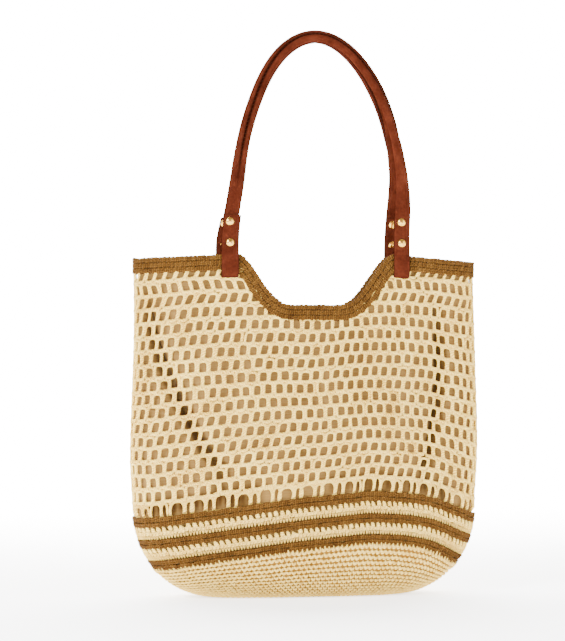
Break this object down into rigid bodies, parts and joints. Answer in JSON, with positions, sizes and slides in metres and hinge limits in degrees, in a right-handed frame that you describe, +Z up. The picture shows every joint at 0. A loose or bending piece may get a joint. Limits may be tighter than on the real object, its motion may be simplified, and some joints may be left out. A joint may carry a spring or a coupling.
{
  "type": "beach bag",
  "caption": "Crocheted tote with an open mesh body, striped base, cloth lining and two riveted leather handles that fold down over the sides.",
  "frame": {"origin": "middle of the underside, on the surface that the bag stands on", "axes": "+Z up from the base to the handles, +X across the front to its right as seen from the front, +Y from the front panel to the rear panel"},
  "size_m": [0.3763, 0.1046, 0.6082],
  "materials": {
    "cream_yarn": "matte cotton yarn",
    "brown_yarn": "matte cotton yarn",
    "lining_cloth": "matte woven cloth",
    "leather_strap": "satin",
    "gold_metal": "polished",
    "sewing_thread": "waxed thread"
  },
  "bodies": {
    "bag": {"oval_base": "cream_yarn", "lower_wall": "cream_yarn", "stripe_lower": "brown_yarn", "cream_band_lower": "cream_yarn", "stripe_middle": "brown_yarn", "cream_band_upper": "cream_yarn", "stripe_upper": "brown_yarn", "arch_round": "cream_yarn", "mesh_body": "cream_yarn", "rim_round_lower": "brown_yarn", "rim_round_middle": "brown_yarn", "rim_round_upper": "brown_yarn", "lining_front": "lining_cloth", "lining_rear": "lining_cloth", "front_left_loop": "leather_strap", "front_right_loop": "leather_strap", "rear_left_loop": "leather_strap", "rear_right_loop": "leather_strap"},
    "front_handle": {"front_handle_strap": "leather_strap", "front_handle_seam": "sewing_thread", "front_left_tab": "leather_strap", "front_left_rivet_lower_cap": "gold_metal", "front_left_rivet_lower_post": "gold_metal", "front_left_rivet_upper_cap": "gold_metal", "front_left_rivet_upper_post": "gold_metal", "front_right_tab": "leather_strap", "front_right_rivet_lower_cap": "gold_metal", "front_right_rivet_lower_post": "gold_metal", "front_right_rivet_upper_cap": "gold_metal", "front_right_rivet_upper_post": "gold_metal"},
    "rear_handle": {"rear_handle_strap": "leather_strap", "rear_handle_seam": "sewing_thread", "rear_left_tab": "leather_strap", "rear_left_rivet_lower_cap": "gold_metal", "rear_left_rivet_lower_post": "gold_metal", "rear_left_rivet_upper_cap": "gold_metal", "rear_left_rivet_upper_post": "gold_metal", "rear_right_tab": "leather_strap", "rear_right_rivet_lower_cap": "gold_metal", "rear_right_rivet_lower_post": "gold_metal", "rear_right_rivet_upper_cap": "gold_metal", "rear_right_rivet_upper_post": "gold_metal"}
  },
  "joints": [
    {"name": "front_handle_fold", "type": "hinge", "parent": "bag", "child": "front_handle", "pos_m": [0.008, -0.03062, 0.3684], "axis": [1, 0, 0], "range_deg": [0, 165]},
    {"name": "rear_handle_fold", "type": "hinge", "parent": "bag", "child": "rear_handle", "pos_m": [0.008, 0.03062, 0.3684], "axis": [-1, 0, 0], "range_deg": [0, 165]}
  ]
}
